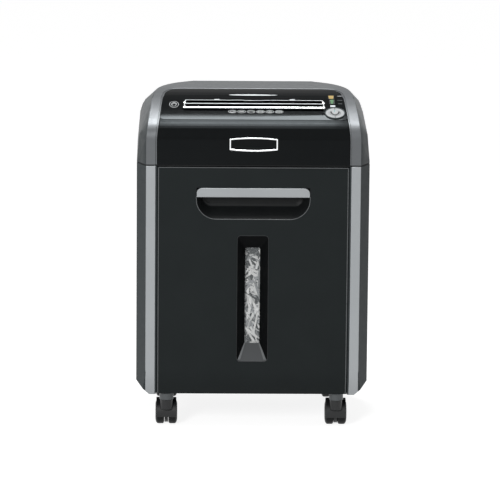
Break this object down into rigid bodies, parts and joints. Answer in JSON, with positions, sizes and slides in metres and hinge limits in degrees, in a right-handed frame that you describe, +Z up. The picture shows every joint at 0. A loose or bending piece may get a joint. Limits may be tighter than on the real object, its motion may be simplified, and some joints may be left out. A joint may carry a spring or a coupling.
{
  "type": "paper shredder",
  "caption": "Deskside paper shredder: tall cabinet with a pull-out bin and window, arched head with paper slot and keys, on swivel casters.",
  "frame": {"origin": "bottom centre of the bounding box, on the floor between the casters", "axes": "+Z up, -Y towards the user (front), +X to the right as the user sees it"},
  "size_m": [0.391, 0.265, 0.563],
  "materials": {
    "dark_plastic": "satin dark grey moulded plastic",
    "silver_plastic": "satin silver grey painted plastic",
    "black_gloss": "black moulded plastic, semi-gloss",
    "black_plastic": "black moulded plastic",
    "bright_trim": "bright plated trim",
    "amber_light": "amber indicator lens",
    "green_light": "green indicator lens",
    "white_light": "white indicator lens",
    "cutter_steel": "hardened steel, oiled",
    "frame_steel": "zinc plated steel",
    "bush_bronze": "sintered bronze",
    "gear_nylon": "natural nylon",
    "circuit": "coated board",
    "switch_red": "black rocker",
    "lock_plastic": "red micro switch",
    "window_clear": "clear window",
    "shreds": "white cross-cut paper",
    "socket_grey": "grey socket",
    "wheel_black": "black nylon wheel"
  },
  "bodies": {
    "cabinet": {"head_shell": "dark_plastic", "head_band": "silver_plastic", "head_fascia": "black_gloss", "control_deck": "black_gloss", "throat_bezel": "bright_trim", "card_slot_trim": "bright_trim", "key_ring": "dark_plastic", "amber_lens": "amber_light", "green_lens": "green_light", "white_lens": "white_light", "name_plate": "bright_trim", "throat_guides": "black_plastic", "head_base": "dark_plastic", "left_side_frame": "frame_steel", "right_side_frame": "frame_steel", "cutter_bushes": "bush_bronze", "tie_rods": "frame_steel", "stripper_combs": "frame_steel", "gearbox_cover": "gear_nylon", "motor_body": "frame_steel", "control_board": "circuit", "cord_gland": "black_plastic", "switch_housing": "black_plastic", "head_screws": "frame_steel", "left_cheek": "dark_plastic", "right_cheek": "dark_plastic", "left_strip": "silver_plastic", "right_strip": "silver_plastic", "back_panel": "dark_plastic", "base_tray": "dark_plastic", "top_frame": "dark_plastic", "interlock_switch": "lock_plastic", "caster_sockets": "socket_grey"},
    "bin": {"bin_front": "black_gloss", "bin_tub": "black_plastic", "bin_grip": "silver_plastic", "handle_pocket": "black_plastic", "window_bezel": "black_plastic", "window_pane": "window_clear", "paper_shreds": "shreds"},
    "centre_key": {"control_key": "silver_plastic"},
    "left_key": {"reverse_key": "silver_plastic"},
    "right_key": {"forward_key": "silver_plastic"},
    "power_rocker": {"rocker_switch": "switch_red"},
    "front_shaft": {"front_cutter": "cutter_steel", "front_sync_gear": "cutter_steel"},
    "rear_shaft": {"rear_cutter": "cutter_steel", "rear_sync_gear": "cutter_steel", "drive_gear": "gear_nylon"},
    "idler": {"intermediate_gear": "gear_nylon"},
    "rotor": {"motor_rotor": "cutter_steel"},
    "front_left_swivel": {"front_left_fork": "black_plastic"},
    "front_left_roller": {"front_left_wheels": "wheel_black"},
    "front_right_swivel": {"front_right_fork": "black_plastic"},
    "front_right_roller": {"front_right_wheels": "wheel_black"},
    "rear_left_swivel": {"rear_left_fork": "black_plastic"},
    "rear_left_roller": {"rear_left_wheels": "wheel_black"},
    "rear_right_swivel": {"rear_right_fork": "black_plastic"},
    "rear_right_roller": {"rear_right_wheels": "wheel_black"}
  },
  "joints": [
    {"name": "bin_slide", "type": "slide", "parent": "cabinet", "child": "bin", "axis": [0, -1, 0], "range_m": [0, 0.235]},
    {"name": "centre_key_press", "type": "slide", "parent": "cabinet", "child": "centre_key", "axis": [0, 0.3542, -0.9352], "range_m": [0, 0.001], "stiffness_N_per_m": 400, "springref_m": -0.001},
    {"name": "left_key_press", "type": "slide", "parent": "cabinet", "child": "left_key", "axis": [0, 0.3542, -0.9352], "range_m": [0, 0.001], "stiffness_N_per_m": 400, "springref_m": -0.001},
    {"name": "right_key_press", "type": "slide", "parent": "cabinet", "child": "right_key", "axis": [0, 0.3542, -0.9352], "range_m": [0, 0.001], "stiffness_N_per_m": 400, "springref_m": -0.001},
    {"name": "power_rocker_tip", "type": "hinge", "parent": "cabinet", "child": "power_rocker", "pos_m": [-0.068, 0.1255, 0.487], "axis": [1, 0, 0], "range_deg": [0, 14]},
    {"name": "rear_shaft_spin", "type": "hinge", "parent": "cabinet", "child": "rear_shaft", "pos_m": [0, -0.0475, 0.487], "axis": [1, 0, 0], "continuous": true},
    {"name": "front_shaft_spin", "type": "hinge", "parent": "cabinet", "child": "front_shaft", "pos_m": [0, -0.0875, 0.487], "axis": [1, 0, 0], "continuous": true},
    {"name": "idler_spin", "type": "hinge", "parent": "cabinet", "child": "idler", "pos_m": [0, 0.00537, 0.50216], "axis": [1, 0, 0], "continuous": true},
    {"name": "rotor_spin", "type": "hinge", "parent": "cabinet", "child": "rotor", "pos_m": [0, 0.05118, 0.48549], "axis": [1, 0, 0], "continuous": true},
    {"name": "front_left_swivel_turn", "type": "hinge", "parent": "cabinet", "child": "front_left_swivel", "pos_m": [-0.144, -0.1015, 0.048], "axis": [0, 0, 1], "continuous": true},
    {"name": "front_left_roll", "type": "hinge", "parent": "front_left_swivel", "child": "front_left_roller", "pos_m": [-0.144, -0.081, 0.021], "axis": [1, 0, 0], "continuous": true},
    {"name": "front_right_swivel_turn", "type": "hinge", "parent": "cabinet", "child": "front_right_swivel", "pos_m": [0.144, -0.1015, 0.048], "axis": [0, 0, 1], "continuous": true},
    {"name": "front_right_roll", "type": "hinge", "parent": "front_right_swivel", "child": "front_right_roller", "pos_m": [0.144, -0.081, 0.021], "axis": [1, 0, 0], "continuous": true},
    {"name": "rear_left_swivel_turn", "type": "hinge", "parent": "cabinet", "child": "rear_left_swivel", "pos_m": [-0.144, 0.0865, 0.048], "axis": [0, 0, 1], "continuous": true},
    {"name": "rear_left_roll", "type": "hinge", "parent": "rear_left_swivel", "child": "rear_left_roller", "pos_m": [-0.144, 0.107, 0.021], "axis": [1, 0, 0], "continuous": true},
    {"name": "rear_right_swivel_turn", "type": "hinge", "parent": "cabinet", "child": "rear_right_swivel", "pos_m": [0.144, 0.0865, 0.048], "axis": [0, 0, 1], "continuous": true},
    {"name": "rear_right_roll", "type": "hinge", "parent": "rear_right_swivel", "child": "rear_right_roller", "pos_m": [0.144, 0.107, 0.021], "axis": [1, 0, 0], "continuous": true}
  ],
  "couplings": [
    {"joint": "front_shaft_spin", "follows": "rear_shaft_spin", "ratio": -1},
    {"joint": "idler_spin", "follows": "rear_shaft_spin", "ratio": -2.6667},
    {"joint": "rotor_spin", "follows": "rear_shaft_spin", "ratio": 8.8889}
  ]
}
